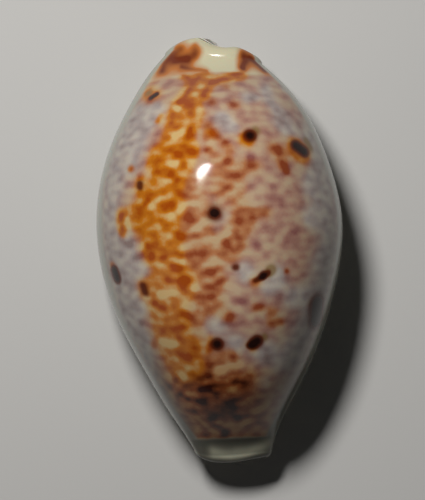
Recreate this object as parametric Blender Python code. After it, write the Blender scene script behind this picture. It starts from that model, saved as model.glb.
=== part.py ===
"""A lynx cowrie shell at its real size: a hollow dome with a long toothed mouth along its flat base.

The shell rests on its base. X runs across it, with the outer lip on the -X side and the columella
on the +X side. Y runs along it to the broad posterior end, and Z is up to the top of the back.
Lengths are in millimetres, and MM turns them into metres when the mesh is made.
"""

import bmesh
import bpy
import numpy as np

MM = 0.001

# Driving dimensions
LENGTH = 36.0
WIDTH = 20.8
HEIGHT = 17.5
MOUTH_WIDTH = 1.5
TOOTH_PITCH = 1.25
TOOTH_DEPTH = 0.42
OUTER_TEETH = 24
COLUMELLA_TEETH = 21

HALF_LENGTH = LENGTH / 2
HALF_WIDTH = WIDTH / 2
OUTER = -1
COLUMELLA = 1

# Plan view: how far each side reaches from the axis, as (place along the shell, part of half the
# width). The place is -1 at the anterior tip and 1 at the posterior tip.
SIDES = {
    OUTER: ((-0.98, 0.235), (-0.89, 0.317), (-0.78, 0.435), (-0.56, 0.644), (-0.33, 0.835),
            (-0.11, 0.952), (0.11, 0.994), (0.33, 0.954), (0.56, 0.816), (0.72, 0.664),
            (0.83, 0.535), (0.92, 0.398), (0.98, 0.290)),
    COLUMELLA: ((-0.96, 0.352), (-0.89, 0.385), (-0.78, 0.476), (-0.56, 0.688), (-0.33, 0.853),
                (-0.11, 0.961), (0.11, 1.004), (0.33, 0.946), (0.56, 0.810), (0.72, 0.652),
                (0.83, 0.480), (0.89, 0.372), (0.94, 0.305)),
}

# Side view, as parts of the height: the back, the base, and the widest level of each side
BACK = ((-0.985, 0.268), (-0.955, 0.292), (-0.92, 0.314), (-0.885, 0.346), (-0.82, 0.455),
        (-0.70, 0.652), (-0.50, 0.832), (-0.25, 0.952), (0.0, 0.993), (0.13, 1.000), (0.32, 0.983),
        (0.48, 0.932), (0.64, 0.778), (0.75, 0.605), (0.83, 0.428), (0.89, 0.338), (0.97, 0.290))
BASE = ((-1.0, 0.085), (-0.85, 0.045), (-0.6, 0.006), (-0.3, -0.010), (0.0, -0.013),
        (0.3, -0.010), (0.6, 0.008), (0.85, 0.055), (1.0, 0.105))
WIDEST = {
    OUTER: ((-1.0, 0.190), (-0.6, 0.210), (0.0, 0.240), (0.6, 0.220), (1.0, 0.185)),
    COLUMELLA: ((-1.0, 0.190), (-0.6, 0.240), (0.0, 0.290), (0.6, 0.260), (1.0, 0.185)),
}

# Where the top of the back and the middle of the mouth lie, as parts of half the width
CREST = ((-1.0, 0.045), (-0.5, 0.018), (0.0, 0.025), (0.6, 0.025), (0.85, 0.075), (1.0, 0.115))
MOUTH = ((-1.0, 0.055), (-0.8, -0.020), (-0.4, -0.085), (0.1, -0.085), (0.5, -0.045),
         (0.75, 0.030), (0.9, 0.095), (1.0, 0.135))
# The mouth's width, as a part of MOUTH_WIDTH
MOUTH_OPENING = ((-1.0, 1.45), (-0.85, 1.6), (-0.65, 1.4), (-0.3, 1.05), (0.6, 0.92), (1.0, 1.2))

# The wall's thickness over the back and at the sides, and how far the hollow fills the section:
# 1 in the whorl, 0 in the two canals at the ends
BACK_WALL = ((-1.0, 1.6), (-0.85, 2.2), (-0.65, 2.4), (-0.4, 1.6), (0.0, 1.3), (0.4, 1.6),
             (0.65, 2.6), (0.78, 3.2), (0.85, 2.5), (1.0, 1.6))
SIDE_WALL = 2.6
HOLLOW = ((-1.0, 0.0), (-0.90, 0.0), (-0.82, 0.30), (-0.70, 0.80), (-0.55, 1.0), (0.0, 1.0),
          (0.55, 1.0), (0.70, 0.85), (0.80, 0.35), (0.88, 0.0), (1.0, 0.0))
HOLLOW_WIDEST = 0.36
FLOOR_PART = 0.27

# Roundness of the section: 2 is an ellipse, and more is squarer
BACK_ROUND = 2.2
BASE_ROUND = 2.65
HOLLOW_ROUND = 2.3
LIP_RADIUS = 0.7
LIP_TAPER = 0.4
WALL_PLACE = 0.4

# How far the rim of each end reaches, as (place round the section, y): 0 is the columella's lip, 1
# its margin, 2 the crest, 3 the outer margin and 4 the outer lip
ANTERIOR_RIM = ((0.0, -17.05), (1.0, -17.22), (1.5, -17.20), (2.0, -17.38), (2.5, -17.30),
                (2.8, -17.05), (3.0, -16.80), (4.0, -16.95))
POSTERIOR_RIM = ((0.0, 15.90), (1.0, 15.65), (1.35, 16.10), (1.70, 16.38), (2.0, 16.38),
                 (2.45, 17.15), (2.75, 17.20), (3.0, 16.75), (3.5, 16.55), (4.0, 16.25))
CREST_PLACE = 2.0
RIM_REACH = 5.0
ANTERIOR_ROUND = 0.62
POSTERIOR_ROUND = 0.85
RIM_ANGLES = (20.0, 42.0, 62.0, 80.0)
RIM_LIP_PLACE = 0.4

# Teeth: each row starts this far from the anterior end, and runs this far out over the base
STEPS_PER_TOOTH = 4
TOOTH_START = {OUTER: -15.2, COLUMELLA: -13.3}
TOOTH_COUNT = {OUTER: OUTER_TEETH, COLUMELLA: COLUMELLA_TEETH}
TOOTH_REACH = {OUTER: 1.9, COLUMELLA: 1.3}
TOOTH_SHARP = 1.6
ANTERIOR_STEPS = 4
POSTERIOR_STEPS = 6

# Places of the mesh's columns on one side, from the mouth to the crest
BASE_PLACES = (0.0, 0.075, 0.15, 0.24, 0.43, 0.66, 0.84, 0.96)
BACK_STEPS = 10
LIP_ANGLES = (0.0, 45.0)
WALL_PLACES = (0.2, 0.4)
FLOOR_PLACES = (0.6, 0.8, 1.0)
VAULT_STEPS = 6
FINE_BELOW = 0.25
LIP_GAP = 0.02


def curve(points):
    """A smooth curve through (place, value) points, as a function of the place."""
    place, value = np.array(points, float).T
    span = np.diff(place)
    slope = np.diff(value) / span
    matrix = np.eye(len(place))
    target = np.zeros(len(place))
    for i in range(1, len(place) - 1):
        matrix[i, i - 1:i + 2] = span[i - 1], 2 * (span[i - 1] + span[i]), span[i]
        target[i] = 6 * (slope[i] - slope[i - 1])
    bend = np.linalg.solve(matrix, target)

    def at(where):
        where = np.clip(where, place[0], place[-1])
        i = np.clip(np.searchsorted(place, where) - 1, 0, len(span) - 1)
        left = where - place[i]
        right = place[i + 1] - where
        cubic = (bend[i + 1] * left**3 + bend[i] * right**3) / (6 * span[i])
        first = (value[i] / span[i] - bend[i] * span[i] / 6) * right
        last = (value[i + 1] / span[i] - bend[i + 1] * span[i] / 6) * left
        return cubic + first + last

    return at


def smooth_step(x):
    """0 below 0, 1 above 1, and a soft rise between."""
    x = np.clip(x, 0.0, 1.0)
    return x * x * (3 - 2 * x)


side_curve = {side: curve(points) for side, points in SIDES.items()}
widest_curve = {side: curve(points) for side, points in WIDEST.items()}
back_curve = curve(BACK)
base_curve = curve(BASE)
crest_curve = curve(CREST)
mouth_curve = curve(MOUTH)
opening_curve = curve(MOUTH_OPENING)
back_wall_curve = curve(BACK_WALL)
hollow_curve = curve(HOLLOW)
anterior_rim = curve(ANTERIOR_RIM)
posterior_rim = curve(POSTERIOR_RIM)
anterior_end = anterior_rim(CREST_PLACE)
posterior_end = posterior_rim(CREST_PLACE)


def lip_radius(t):
    """The lip's rounding, which is finer towards the ends."""
    return LIP_RADIUS * (1 - LIP_TAPER * t**4)


def mouth_edge(t, side):
    """X of the mouth's edge on one side, at the teeth's crests."""
    return HALF_WIDTH * mouth_curve(t) + side * MOUTH_WIDTH / 2 * opening_curve(t)


def outer_point(t, side, place):
    """X and Z on the outside: place 0 is at the mouth, 1 at the margin and 2 at the crest."""
    margin = side * HALF_WIDTH * side_curve[side](t)
    widest = HEIGHT * widest_curve[side](t)
    if place < 1:
        start = mouth_edge(t, side) + side * lip_radius(t)
        drop = widest - HEIGHT * base_curve(t)
        x = start + (margin - start) * place
        z = widest - drop * (1 - place**BASE_ROUND) ** (1 / BASE_ROUND)
        return x, z
    angle = np.radians(90 * (place - 1))
    crest = HALF_WIDTH * crest_curve(t)
    x = crest + (margin - crest) * np.cos(angle) ** (2 / BACK_ROUND)
    z = widest + (HEIGHT * back_curve(t) - widest) * np.sin(angle) ** (2 / BACK_ROUND)
    return x, z


def inner_point(t, side, place):
    """X and Z on the inside: up the mouth's wall, out over the floor and up into the vault."""
    edge = mouth_edge(t, side)
    foot = HEIGHT * base_curve(t) + lip_radius(t)
    roof = HEIGHT * back_curve(t) - back_wall_curve(t)
    middle = foot + (roof - foot) * HOLLOW_WIDEST
    floor = foot + (middle - foot) * FLOOR_PART
    if place <= WALL_PLACE:
        return edge, foot + (floor - foot) * place / WALL_PLACE
    fill = np.clip(hollow_curve(t), 0.0, 1.0)
    reach = edge + (side * (HALF_WIDTH * side_curve[side](t) - SIDE_WALL) - edge) * fill
    if place < 1:
        angle = np.radians(90 * (place - WALL_PLACE) / (1 - WALL_PLACE))
        x = edge + (reach - edge) * np.sin(angle) ** (2 / HOLLOW_ROUND)
        z = middle - (middle - floor) * np.cos(angle) ** (2 / HOLLOW_ROUND)
        return x, z
    angle = np.radians(90 * (place - 1))
    crest = HALF_WIDTH * (mouth_curve(t) + (crest_curve(t) - mouth_curve(t)) * fill)
    x = crest + (reach - crest) * np.cos(angle) ** (2 / HOLLOW_ROUND)
    z = middle + (roof - middle) * np.sin(angle) ** (2 / HOLLOW_ROUND)
    return x, z


def lip_point(t, side, angle):
    """X and Z on the lip's rounded edge: 0 degrees faces down, 90 faces across the mouth."""
    radius = lip_radius(t)
    turn = np.radians(angle)
    x = mouth_edge(t, side) + side * radius * (1 - np.sin(turn))
    z = HEIGHT * base_curve(t) + radius * (1 - np.cos(turn))
    return x, z


def groove(x, y, side):
    """How deep the groove between two teeth is here, from 0 on a crest to 1 in a groove."""
    step = 0.01
    t = y / HALF_LENGTH
    turn = (mouth_curve(t + step) - mouth_curve(t - step)) * HALF_WIDTH / (2 * step * HALF_LENGTH)
    along = y + (x - HALF_WIDTH * mouth_curve(t)) * turn - TOOTH_START[side]
    teeth = along / TOOTH_PITCH
    row = smooth_step(teeth + 0.5) * smooth_step(TOOTH_COUNT[side] + 0.5 - teeth)
    return row * (0.5 - 0.5 * np.cos(2 * np.pi * teeth)) ** TOOTH_SHARP


def column(y, side, kind, value):
    """One line of points along the shell, cut by the teeth and flat where the shell rests."""
    t = y / HALF_LENGTH
    into_x, into_z, strength = 0.0, 1.0, 0.0
    if kind == "lip":
        x, z = lip_point(t, side, value)
        into_x, into_z = side * np.sin(np.radians(value)), np.cos(np.radians(value))
        strength = 1.0
    elif kind == "outer":
        x, z = outer_point(t, side, value)
        away = np.abs(x - mouth_edge(t, side)) - lip_radius(t)
        if value < 1:
            strength = 1 - smooth_step(away / TOOTH_REACH[side])
    else:
        x, z = inner_point(t, side, value)
        into_x, into_z = side, 0.0
        strength = 1 - smooth_step(value / (2 * WALL_PLACE))
    cut = TOOTH_DEPTH * groove(x, y, side) * strength
    flat_z = np.maximum(z, 0.0)
    return np.stack([x + into_x * cut, y, flat_z + into_z * cut], axis=-1)


def shell_columns():
    """Every column as (side, kind, value, rim place), round the outside and round the inside."""
    outside = [("lip", angle, -LIP_GAP * angle / 90) for angle in reversed(LIP_ANGLES[1:])]
    outside += [("outer", place, place) for place in BASE_PLACES]
    outside += [("outer", 1 + i / BACK_STEPS, 1 + i / BACK_STEPS) for i in range(BACK_STEPS)]
    inside = [("lip", 90.0, -LIP_GAP)]
    inside += [("inner", place, place) for place in WALL_PLACES + FLOOR_PLACES]
    inside += [("inner", 1 + i / VAULT_STEPS, 1 + i / VAULT_STEPS) for i in range(1, VAULT_STEPS)]
    rows = []
    for half, top in ((outside, "outer"), (inside, "inner")):
        row = [(COLUMELLA, kind, value, place) for kind, value, place in half]
        row.append((COLUMELLA, top, 2.0, 2.0))
        row += [(OUTER, kind, value, 4 - place) for kind, value, place in reversed(half)]
        rows.append(row)
    return rows


def stations():
    """Places along the shell, evenly spaced through the teeth."""
    step = TOOTH_PITCH / STEPS_PER_TOOTH
    first = TOOTH_START[OUTER]
    last = first + OUTER_TEETH * TOOTH_PITCH
    teeth = first + step * np.arange(OUTER_TEETH * STEPS_PER_TOOTH + 1)
    start = np.linspace(anterior_end, first, ANTERIOR_STEPS + 1)[:-1]
    end = np.linspace(last, posterior_end, POSTERIOR_STEPS + 1)[1:]
    return np.concatenate([start, teeth, end])


def along(y, place):
    """The stations of one column, drawn out or held back so that they end on the rims."""
    head = smooth_step(1 - (y - anterior_end) / RIM_REACH)
    tail = smooth_step(1 - (posterior_end - y) / RIM_REACH)
    place = np.clip(place, 0.0, 4.0)
    return (y + (anterior_rim(place) - anterior_end) * head
            + (posterior_rim(place) - posterior_end) * tail)


def row_at(where, place, row):
    """The points of one row at other places round the section."""
    return np.stack([np.interp(where, place, row[:, axis]) for axis in range(3)], axis=-1)


def rim(row, place, other, other_place, reach):
    """Rounded rows past an end, where the outside and the inside close on each other."""
    inside_lip = np.clip(place, RIM_LIP_PLACE, 4 - RIM_LIP_PLACE)
    middle = (row_at(inside_lip, place, row) + row_at(inside_lip, other_place, other)) / 2
    rows = []
    for angle in np.radians(RIM_ANGLES):
        closing = middle + np.cos(angle) * (row - middle)
        closing[:, 1] = row[:, 1] + reach * np.sin(angle)
        rows.append(closing)
    return np.array(rows)


def surface():
    """Points of the outside and the inside, as arrays of stations by columns, rims included."""
    y = stations()
    layers = []
    places = []
    for row in shell_columns():
        points = [column(along(y, place), side, kind, value) for side, kind, value, place in row]
        layers.append(np.stack(points, axis=1))
        places.append(np.array([place for _, _, _, place in row]))
    closed = []
    for this, other in ((0, 1), (1, 0)):
        head = rim(layers[this][0], places[this], layers[other][0], places[other],
                   -ANTERIOR_ROUND)
        tail = rim(layers[this][-1], places[this], layers[other][-1], places[other],
                   POSTERIOR_ROUND)
        closed.append(np.concatenate([head[::-1], layers[this], tail]))
    return closed


def to_size(points):
    """Centres the points over the origin, and brings them to the driving dimensions."""
    low = points.reshape(-1, 3).min(axis=0)
    high = points.reshape(-1, 3).max(axis=0)
    middle = np.array([(low[0] + high[0]) / 2, (low[1] + high[1]) / 2, low[2]])
    return (points - middle) * np.array([WIDTH, LENGTH, HEIGHT]) / (high - low)


def is_fine(kind, value):
    """Columns in the toothed strip keep every station, and the others every second one."""
    limit = FINE_BELOW if kind == "outer" else WALL_PLACE
    return kind == "lip" or value <= limit


def strip_faces(index, left, right, step):
    """Faces between two columns. Where one is coarser, its faces take the finer one's points in."""
    faces = []
    for i in range(0, len(index) - 1, step):
        up = [index[k, left] for k in range(i, i + step + 1)]
        down = [index[k, right] for k in range(i + step, i - 1, -1)]
        faces.append([v for v in up + down if v >= 0])
    return faces


def end_faces(outside, outer_places, inside, inner_places):
    """Triangles that close a rim between its outer and its inner row of points."""
    faces = []
    i = 0
    j = 0
    while i < len(outside) - 1 or j < len(inside) - 1:
        outer_next = outer_places[i + 1] if i < len(outside) - 1 else np.inf
        inner_next = inner_places[j + 1] if j < len(inside) - 1 else np.inf
        if outer_next <= inner_next:
            faces.append([outside[i], outside[i + 1], inside[j]])
            i += 1
        else:
            faces.append([outside[i], inside[j + 1], inside[j]])
            j += 1
    return faces


def shell_mesh():
    """The closed mesh of the whole shell."""
    outer_row, inner_row = shell_columns()
    outside, inside = surface()
    points = to_size(np.concatenate([outside, inside[:, ::-1]], axis=1)) * MM
    row = outer_row + inner_row[::-1]
    fine = [is_fine(kind, value) for _, kind, value, _ in row]
    index = np.full(points.shape[:2], -1)
    form = bmesh.new()
    verts = []
    for i in range(points.shape[0]):
        for k in range(points.shape[1]):
            if fine[k] or i % 2 == 0:
                index[i, k] = len(verts)
                verts.append(form.verts.new(points[i, k]))
    faces = []
    for k in range(len(row)):
        after = (k + 1) % len(row)
        faces += strip_faces(index, k, after, 1 if fine[k] and fine[after] else 2)
    turns = len(outer_row)
    outer_places = [column_at[3] for column_at in outer_row]
    inner_places = [column_at[3] for column_at in inner_row]
    for end in (0, -1):
        faces += end_faces(index[end, :turns], outer_places, index[end, turns:][::-1], inner_places)
    for face in faces:
        form.faces.new([verts[v] for v in face])
    bmesh.ops.recalc_face_normals(form, faces=form.faces)
    mesh = bpy.data.meshes.new("shell")
    form.to_mesh(mesh)
    form.free()
    return mesh


def shell_material():
    """Glossy fawn enamel, the average colour of the spotted back."""
    material = bpy.data.materials.new("cowrie_enamel")
    material.use_nodes = True
    surface_node = material.node_tree.nodes["Principled BSDF"]
    surface_node.inputs["Base Color"].default_value = (0.48, 0.33, 0.22, 1.0)
    surface_node.inputs["Roughness"].default_value = 0.18
    surface_node.inputs["Metallic"].default_value = 0.0
    return material


def build():
    for old in list(bpy.data.objects):
        bpy.data.objects.remove(old, do_unlink=True)
    mesh = shell_mesh()
    mesh.materials.append(shell_material())
    mesh.shade_smooth()
    mesh.set_sharp_from_angle(angle=np.radians(50))
    shell = bpy.data.objects.new("shell", mesh)
    bpy.context.collection.objects.link(shell)


build()
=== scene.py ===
# %% [markdown]
# A lynx cowrie shell, dressed for the camera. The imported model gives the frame: one solid, called
# shell, at its real size, resting on the floor with its mouth down. The solid never changes. This
# lesson builds a finer skin of the same form in its place, and then paints it.

import bpy
import numpy as np
from mathutils import Matrix, Vector, noise


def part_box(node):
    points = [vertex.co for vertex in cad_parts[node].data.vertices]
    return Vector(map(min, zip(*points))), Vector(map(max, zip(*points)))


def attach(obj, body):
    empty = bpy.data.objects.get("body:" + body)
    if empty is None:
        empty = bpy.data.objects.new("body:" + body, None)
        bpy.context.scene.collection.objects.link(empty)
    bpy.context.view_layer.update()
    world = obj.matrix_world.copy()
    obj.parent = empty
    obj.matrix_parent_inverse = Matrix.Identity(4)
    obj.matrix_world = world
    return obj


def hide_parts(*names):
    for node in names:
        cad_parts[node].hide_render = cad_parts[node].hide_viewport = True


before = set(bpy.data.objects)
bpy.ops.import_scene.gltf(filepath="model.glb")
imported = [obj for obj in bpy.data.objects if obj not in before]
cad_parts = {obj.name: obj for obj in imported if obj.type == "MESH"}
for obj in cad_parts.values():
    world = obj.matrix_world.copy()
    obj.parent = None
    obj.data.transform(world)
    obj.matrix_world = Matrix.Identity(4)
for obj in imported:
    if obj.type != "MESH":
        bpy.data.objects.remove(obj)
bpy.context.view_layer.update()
shell_low, shell_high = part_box("shell")
print("the solid measures", [round(1000 * side, 2) for side in shell_high - shell_low], "mm")

# %% [markdown]
# Lengths in this lesson are millimetres, because a shell is small, and turn to metres only where
# Blender gets them. The three driving sizes come from the frame, so the skin can't drift from the
# solid. X runs across the shell, with the outer lip on the -X side and the columella on the +X
# side. Y runs along it to the broad posterior end.

# %% Driving sizes
MM = 0.001
WIDTH, LENGTH, HEIGHT = (side / MM for side in shell_high - shell_low)
HALF_LENGTH = LENGTH / 2
HALF_WIDTH = WIDTH / 2
OUTER = -1
COLUMELLA = 1
MOUTH_WIDTH = 1.5
TOOTH_PITCH = 1.25
TOOTH_DEPTH = 0.42
TOOTH_COUNT = {OUTER: 24, COLUMELLA: 21}
print("the shell is", round(LENGTH, 2), "mm long and", round(WIDTH, 2), "mm wide")

# %% [markdown]
# Two helpers come first. One draws a smooth curve through a few points, as a thin bent strip would.
# The other is a soft step from 0 to 1, for anything that has to fade.

# %% Curves and soft steps
def curve(*numbers):
    """A smooth curve as a function of the place. The numbers are places and values by turns."""
    place, value = np.reshape(numbers, (-1, 2)).T
    span = np.diff(place)
    slope = np.diff(value) / span
    matrix = np.eye(len(place))
    target = np.zeros(len(place))
    for i in range(1, len(place) - 1):
        matrix[i, i - 1:i + 2] = span[i - 1], 2 * (span[i - 1] + span[i]), span[i]
        target[i] = 6 * (slope[i] - slope[i - 1])
    bend = np.linalg.solve(matrix, target)

    def at(where):
        where = np.clip(where, place[0], place[-1])
        i = np.clip(np.searchsorted(place, where) - 1, 0, len(span) - 1)
        left = where - place[i]
        right = place[i + 1] - where
        cubic = (bend[i + 1] * left**3 + bend[i] * right**3) / (6 * span[i])
        first = (value[i] / span[i] - bend[i] * span[i] / 6) * right
        last = (value[i + 1] / span[i] - bend[i + 1] * span[i] / 6) * left
        return cubic + first + last

    return at


def smooth_step(x):
    """0 below 0, 1 above 1, and a soft rise between."""
    x = np.clip(x, 0.0, 1.0)
    return x * x * (3 - 2 * x)


print("a soft step reaches", smooth_step(0.5), "half way up")

# %% [markdown]
# A cowrie grows as one smooth dome, so nothing on it is a box or a ball. Its form is easiest to
# say in curves along the shell: how wide each side is, how high the back, how high the base, and
# where the widest level lies. Every cross-section then follows from those numbers. The place on
# a curve runs from -1 at the anterior tip to 1 at the posterior tip. The values are parts of half
# the width, the height or the mouth's width, and for the wall over the hollow they are mm.

# %% Curves of the form
side_curve = {
    OUTER: curve(
        -0.98, 0.235, -0.89, 0.317, -0.78, 0.435, -0.56, 0.644, -0.33, 0.835, -0.11, 0.952,
        0.11, 0.994, 0.33, 0.954, 0.56, 0.816, 0.72, 0.664, 0.83, 0.535, 0.92, 0.398, 0.98, 0.29),
    COLUMELLA: curve(
        -0.96, 0.352, -0.89, 0.385, -0.78, 0.476, -0.56, 0.688, -0.33, 0.853, -0.11, 0.961,
        0.11, 1.004, 0.33, 0.946, 0.56, 0.81, 0.72, 0.652, 0.83, 0.48, 0.89, 0.372, 0.94, 0.305),
}
back_curve = curve(
    -0.985, 0.268, -0.955, 0.292, -0.92, 0.314, -0.885, 0.346, -0.82, 0.455, -0.7, 0.652,
    -0.5, 0.832, -0.25, 0.952, 0, 0.993, 0.13, 1, 0.32, 0.983, 0.48, 0.932, 0.64, 0.778,
    0.75, 0.605, 0.83, 0.428, 0.89, 0.338, 0.97, 0.29)
base_curve = curve(
    -1, 0.085, -0.85, 0.045, -0.6, 0.006, -0.3, -0.01, 0, -0.013, 0.3, -0.01, 0.6, 0.008,
    0.85, 0.055, 1, 0.105)
widest_curve = {
    OUTER: curve(-1, 0.19, -0.6, 0.21, 0, 0.24, 0.6, 0.22, 1, 0.185),
    COLUMELLA: curve(-1, 0.19, -0.6, 0.24, 0, 0.29, 0.6, 0.26, 1, 0.185),
}
crest_curve = curve(-1, 0.045, -0.5, 0.018, 0, 0.025, 0.6, 0.025, 0.85, 0.075, 1, 0.115)
mouth_curve = curve(
    -1, 0.055, -0.8, -0.02, -0.4, -0.085, 0.1, -0.085, 0.5, -0.045, 0.75, 0.03, 0.9, 0.095,
    1, 0.135)
opening_curve = curve(-1, 1.45, -0.85, 1.6, -0.65, 1.4, -0.3, 1.05, 0.6, 0.92, 1, 1.2)
back_wall_curve = curve(
    -1, 1.6, -0.85, 2.2, -0.65, 2.4, -0.4, 1.6, 0, 1.3, 0.4, 1.6, 0.65, 2.6, 0.78, 3.2, 0.85, 2.5,
    1, 1.6)
hollow_curve = curve(
    -1, 0, -0.9, 0, -0.82, 0.3, -0.7, 0.8, -0.55, 1, 0, 1, 0.55, 1, 0.7, 0.85, 0.8, 0.35, 0.88, 0,
    1, 0)
top_of_back = HEIGHT * back_curve(np.linspace(-1, 1, 201)).max()
print("the back is", round(float(top_of_back), 1), "mm high at its top")

# %% [markdown]
# A cross-section of the outside is two quarter arches on each side: one curls in under the shell
# to the mouth, the other climbs over the back to the crest. A superellipse does both, since one
# number makes it rounder or squarer. Places round the section are counted from 0 at the mouth to 1
# at the margin, 2 at the crest, 3 at the other margin and 4 at the mouth again. At the posterior end
# a shallow crease sets the body off from the collar around the sunken spire, and it is pressed into
# the back here.

# %% Sections of the outside
CREST_PLACE = 2.0
WHOLE_ROUND = 4.0
LIP_RADIUS = 0.7
LIP_TAPER = 0.4
BACK_ROUND = 2.2
BASE_ROUND = 2.65
CREASE_DEPTH = 0.07
CREASE_WIDTH = 0.42
CREASE_PLACE = 14.95
CREASE_BOW = 0.022


def lip_radius(t):
    """The lip's rounding, which is finer towards the ends."""
    return LIP_RADIUS * (1 - LIP_TAPER * t**4)


def mouth_edge(t, side):
    """X of the mouth's edge on one side, at the teeth's crests."""
    return HALF_WIDTH * mouth_curve(t) + side * MOUTH_WIDTH / 2 * opening_curve(t)


def crease(x, y):
    """Depth of the crease between the body and the collar."""
    away = y - (CREASE_PLACE - CREASE_BOW * x**2)
    return CREASE_DEPTH * np.exp(-(away / CREASE_WIDTH) ** 2)


def outer_point(t, side, place):
    """X and Z on the outside: place 0 is at the mouth, 1 at the margin and 2 at the crest."""
    margin = side * HALF_WIDTH * side_curve[side](t)
    widest = HEIGHT * widest_curve[side](t)
    if place < 1:
        start = mouth_edge(t, side) + side * lip_radius(t)
        drop = widest - HEIGHT * base_curve(t)
        x = start + (margin - start) * place
        z = widest - drop * (1 - place**BASE_ROUND) ** (1 / BASE_ROUND)
        return x, z
    angle = np.radians(90 * (place - 1))
    crest = HALF_WIDTH * crest_curve(t)
    x = crest + (margin - crest) * np.cos(angle) ** (2 / BACK_ROUND)
    z = widest + (HEIGHT * back_curve(t) - widest) * np.sin(angle) ** (2 / BACK_ROUND)
    return x, z - crease(x, t * HALF_LENGTH) * np.sin(angle)


def lip_point(t, side, angle):
    """X and Z on the lip's rounded edge: 0 degrees faces down, 90 faces across the mouth."""
    radius = lip_radius(t)
    turn = np.radians(angle)
    x = mouth_edge(t, side) + side * radius * (1 - np.sin(turn))
    z = HEIGHT * base_curve(t) + radius * (1 - np.cos(turn))
    return x, z


print("the crease is", CREASE_DEPTH, "mm deep")

# %% [markdown]
# Inside, the wall climbs from the lip, turns out over a floor and closes in a vault. The real
# shell has coiled whorls there, which the narrow mouth hides, so a plain hollow stands for them.

# %% Sections of the hollow
SIDE_WALL = 2.6
HOLLOW_WIDEST = 0.36
HOLLOW_ROUND = 2.3
FLOOR_PART = 0.27
WALL_PLACE = 0.4


def inner_point(t, side, place):
    """X and Z on the inside: up the mouth's wall, out over the floor and up into the vault."""
    edge = mouth_edge(t, side)
    foot = HEIGHT * base_curve(t) + lip_radius(t)
    roof = HEIGHT * back_curve(t) - back_wall_curve(t)
    middle = foot + (roof - foot) * HOLLOW_WIDEST
    floor = foot + (middle - foot) * FLOOR_PART
    if place <= WALL_PLACE:
        return edge, foot + (floor - foot) * place / WALL_PLACE
    fill = np.clip(hollow_curve(t), 0.0, 1.0)
    reach = edge + (side * (HALF_WIDTH * side_curve[side](t) - SIDE_WALL) - edge) * fill
    if place < 1:
        angle = np.radians(90 * (place - WALL_PLACE) / (1 - WALL_PLACE))
        x = edge + (reach - edge) * np.sin(angle) ** (2 / HOLLOW_ROUND)
        z = middle - (middle - floor) * np.cos(angle) ** (2 / HOLLOW_ROUND)
        return x, z
    angle = np.radians(90 * (place - 1))
    crest = HALF_WIDTH * (mouth_curve(t) + (crest_curve(t) - mouth_curve(t)) * fill)
    x = crest + (reach - crest) * np.cos(angle) ** (2 / HOLLOW_ROUND)
    z = middle + (roof - middle) * np.sin(angle) ** (2 / HOLLOW_ROUND)
    return x, z


print("the side walls are", SIDE_WALL, "mm thick in the middle")

# %% [markdown]
# The teeth are ridges across both lips, about 1.25 mm apart. It is simpler to cut the grooves
# between them than to add ridges: one wave along the mouth gives the depth, and it fades out over
# the base. The same wave is kept for every point, because the grooves are also stained.

# %% Teeth
TOOTH_START = {OUTER: -15.2, COLUMELLA: -13.3}
TOOTH_REACH = {OUTER: 1.9, COLUMELLA: 1.3}
TOOTH_SHARP = 1.6
REST_BLEND = 0.06


def groove(x, y, side):
    """How deep the groove between two teeth is here, from 0 on a crest to 1 in a groove."""
    step = 0.01
    t = y / HALF_LENGTH
    turn = (mouth_curve(t + step) - mouth_curve(t - step)) * HALF_WIDTH / (2 * step * HALF_LENGTH)
    along_row = y + (x - HALF_WIDTH * mouth_curve(t)) * turn - TOOTH_START[side]
    teeth = along_row / TOOTH_PITCH
    row = smooth_step(teeth + 0.5) * smooth_step(TOOTH_COUNT[side] + 0.5 - teeth)
    return row * (0.5 - 0.5 * np.cos(2 * np.pi * teeth)) ** TOOTH_SHARP


def column(y, side, kind, value):
    """One line of points along the shell, and how deep in a groove each one is."""
    t = y / HALF_LENGTH
    into_x, into_z, strength = 0.0, 1.0, 0.0
    if kind == "lip":
        x, z = lip_point(t, side, value)
        into_x, into_z = side * np.sin(np.radians(value)), np.cos(np.radians(value))
        strength = 1.0
    elif kind == "outer":
        x, z = outer_point(t, side, value)
        away = np.abs(x - mouth_edge(t, side)) - lip_radius(t)
        if value < 1:
            strength = 1 - smooth_step(away / TOOTH_REACH[side])
    else:
        x, z = inner_point(t, side, value)
        into_x, into_z = side, 0.0
        strength = 1 - smooth_step(value / (2 * WALL_PLACE))
    depth = groove(x, y, side) * strength
    cut = TOOTH_DEPTH * depth
    resting_z = (z + np.sqrt(z * z + REST_BLEND**2)) / 2
    return np.stack([x + into_x * cut, y, resting_z + into_z * cut], axis=-1), depth


print(TOOTH_COUNT[OUTER], "teeth on the outer lip,", TOOTH_COUNT[COLUMELLA], "on the columella")

# %% [markdown]
# Now the grid. Columns run along the shell and rows run round it, close enough together that a
# blotch half a millimetre wide has several points across it. The hollow is dim and plain, so it
# keeps every fourth row only.

# %% Columns and rows
ROWS_PER_TOOTH = 10
LIP_STEPS = 9
BASE_STEPS = 38
BASE_CLOSER = 1.3
BACK_STEPS = 86
WALL_STEPS = 4
FLOOR_STEPS = 5
VAULT_STEPS = 12
COARSE = 4
LIP_GAP = 0.02


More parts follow.
